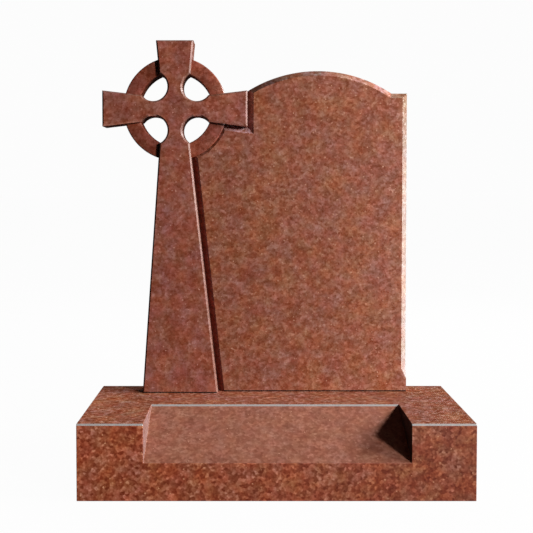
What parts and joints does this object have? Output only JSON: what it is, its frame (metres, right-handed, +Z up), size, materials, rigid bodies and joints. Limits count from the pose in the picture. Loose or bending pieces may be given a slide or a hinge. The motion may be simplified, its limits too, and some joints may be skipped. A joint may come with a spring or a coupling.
{
  "type": "celtic cross headstone",
  "caption": "Upright granite memorial slab carved as a ringed Celtic cross beside an arched tablet, standing on a granite base with a wedge-shaped recess cut in its front.",
  "frame": {"origin": "middle of the base's underside, where the memorial stands on the ground or its foundation", "axes": "+X runs to the viewer's right along the front, +Y from the front to the back, +Z up"},
  "size_m": [0.914, 0.381, 1.0958],
  "materials": {
    "headstone_granite": "red granite with brown and pink grains, polished",
    "base_granite": "red granite with brown and pink grains, a little deeper than the headstone's, polished"
  },
  "bodies": {
    "root": {"headstone": "headstone_granite", "base": "base_granite"}
  },
  "joints": []
}
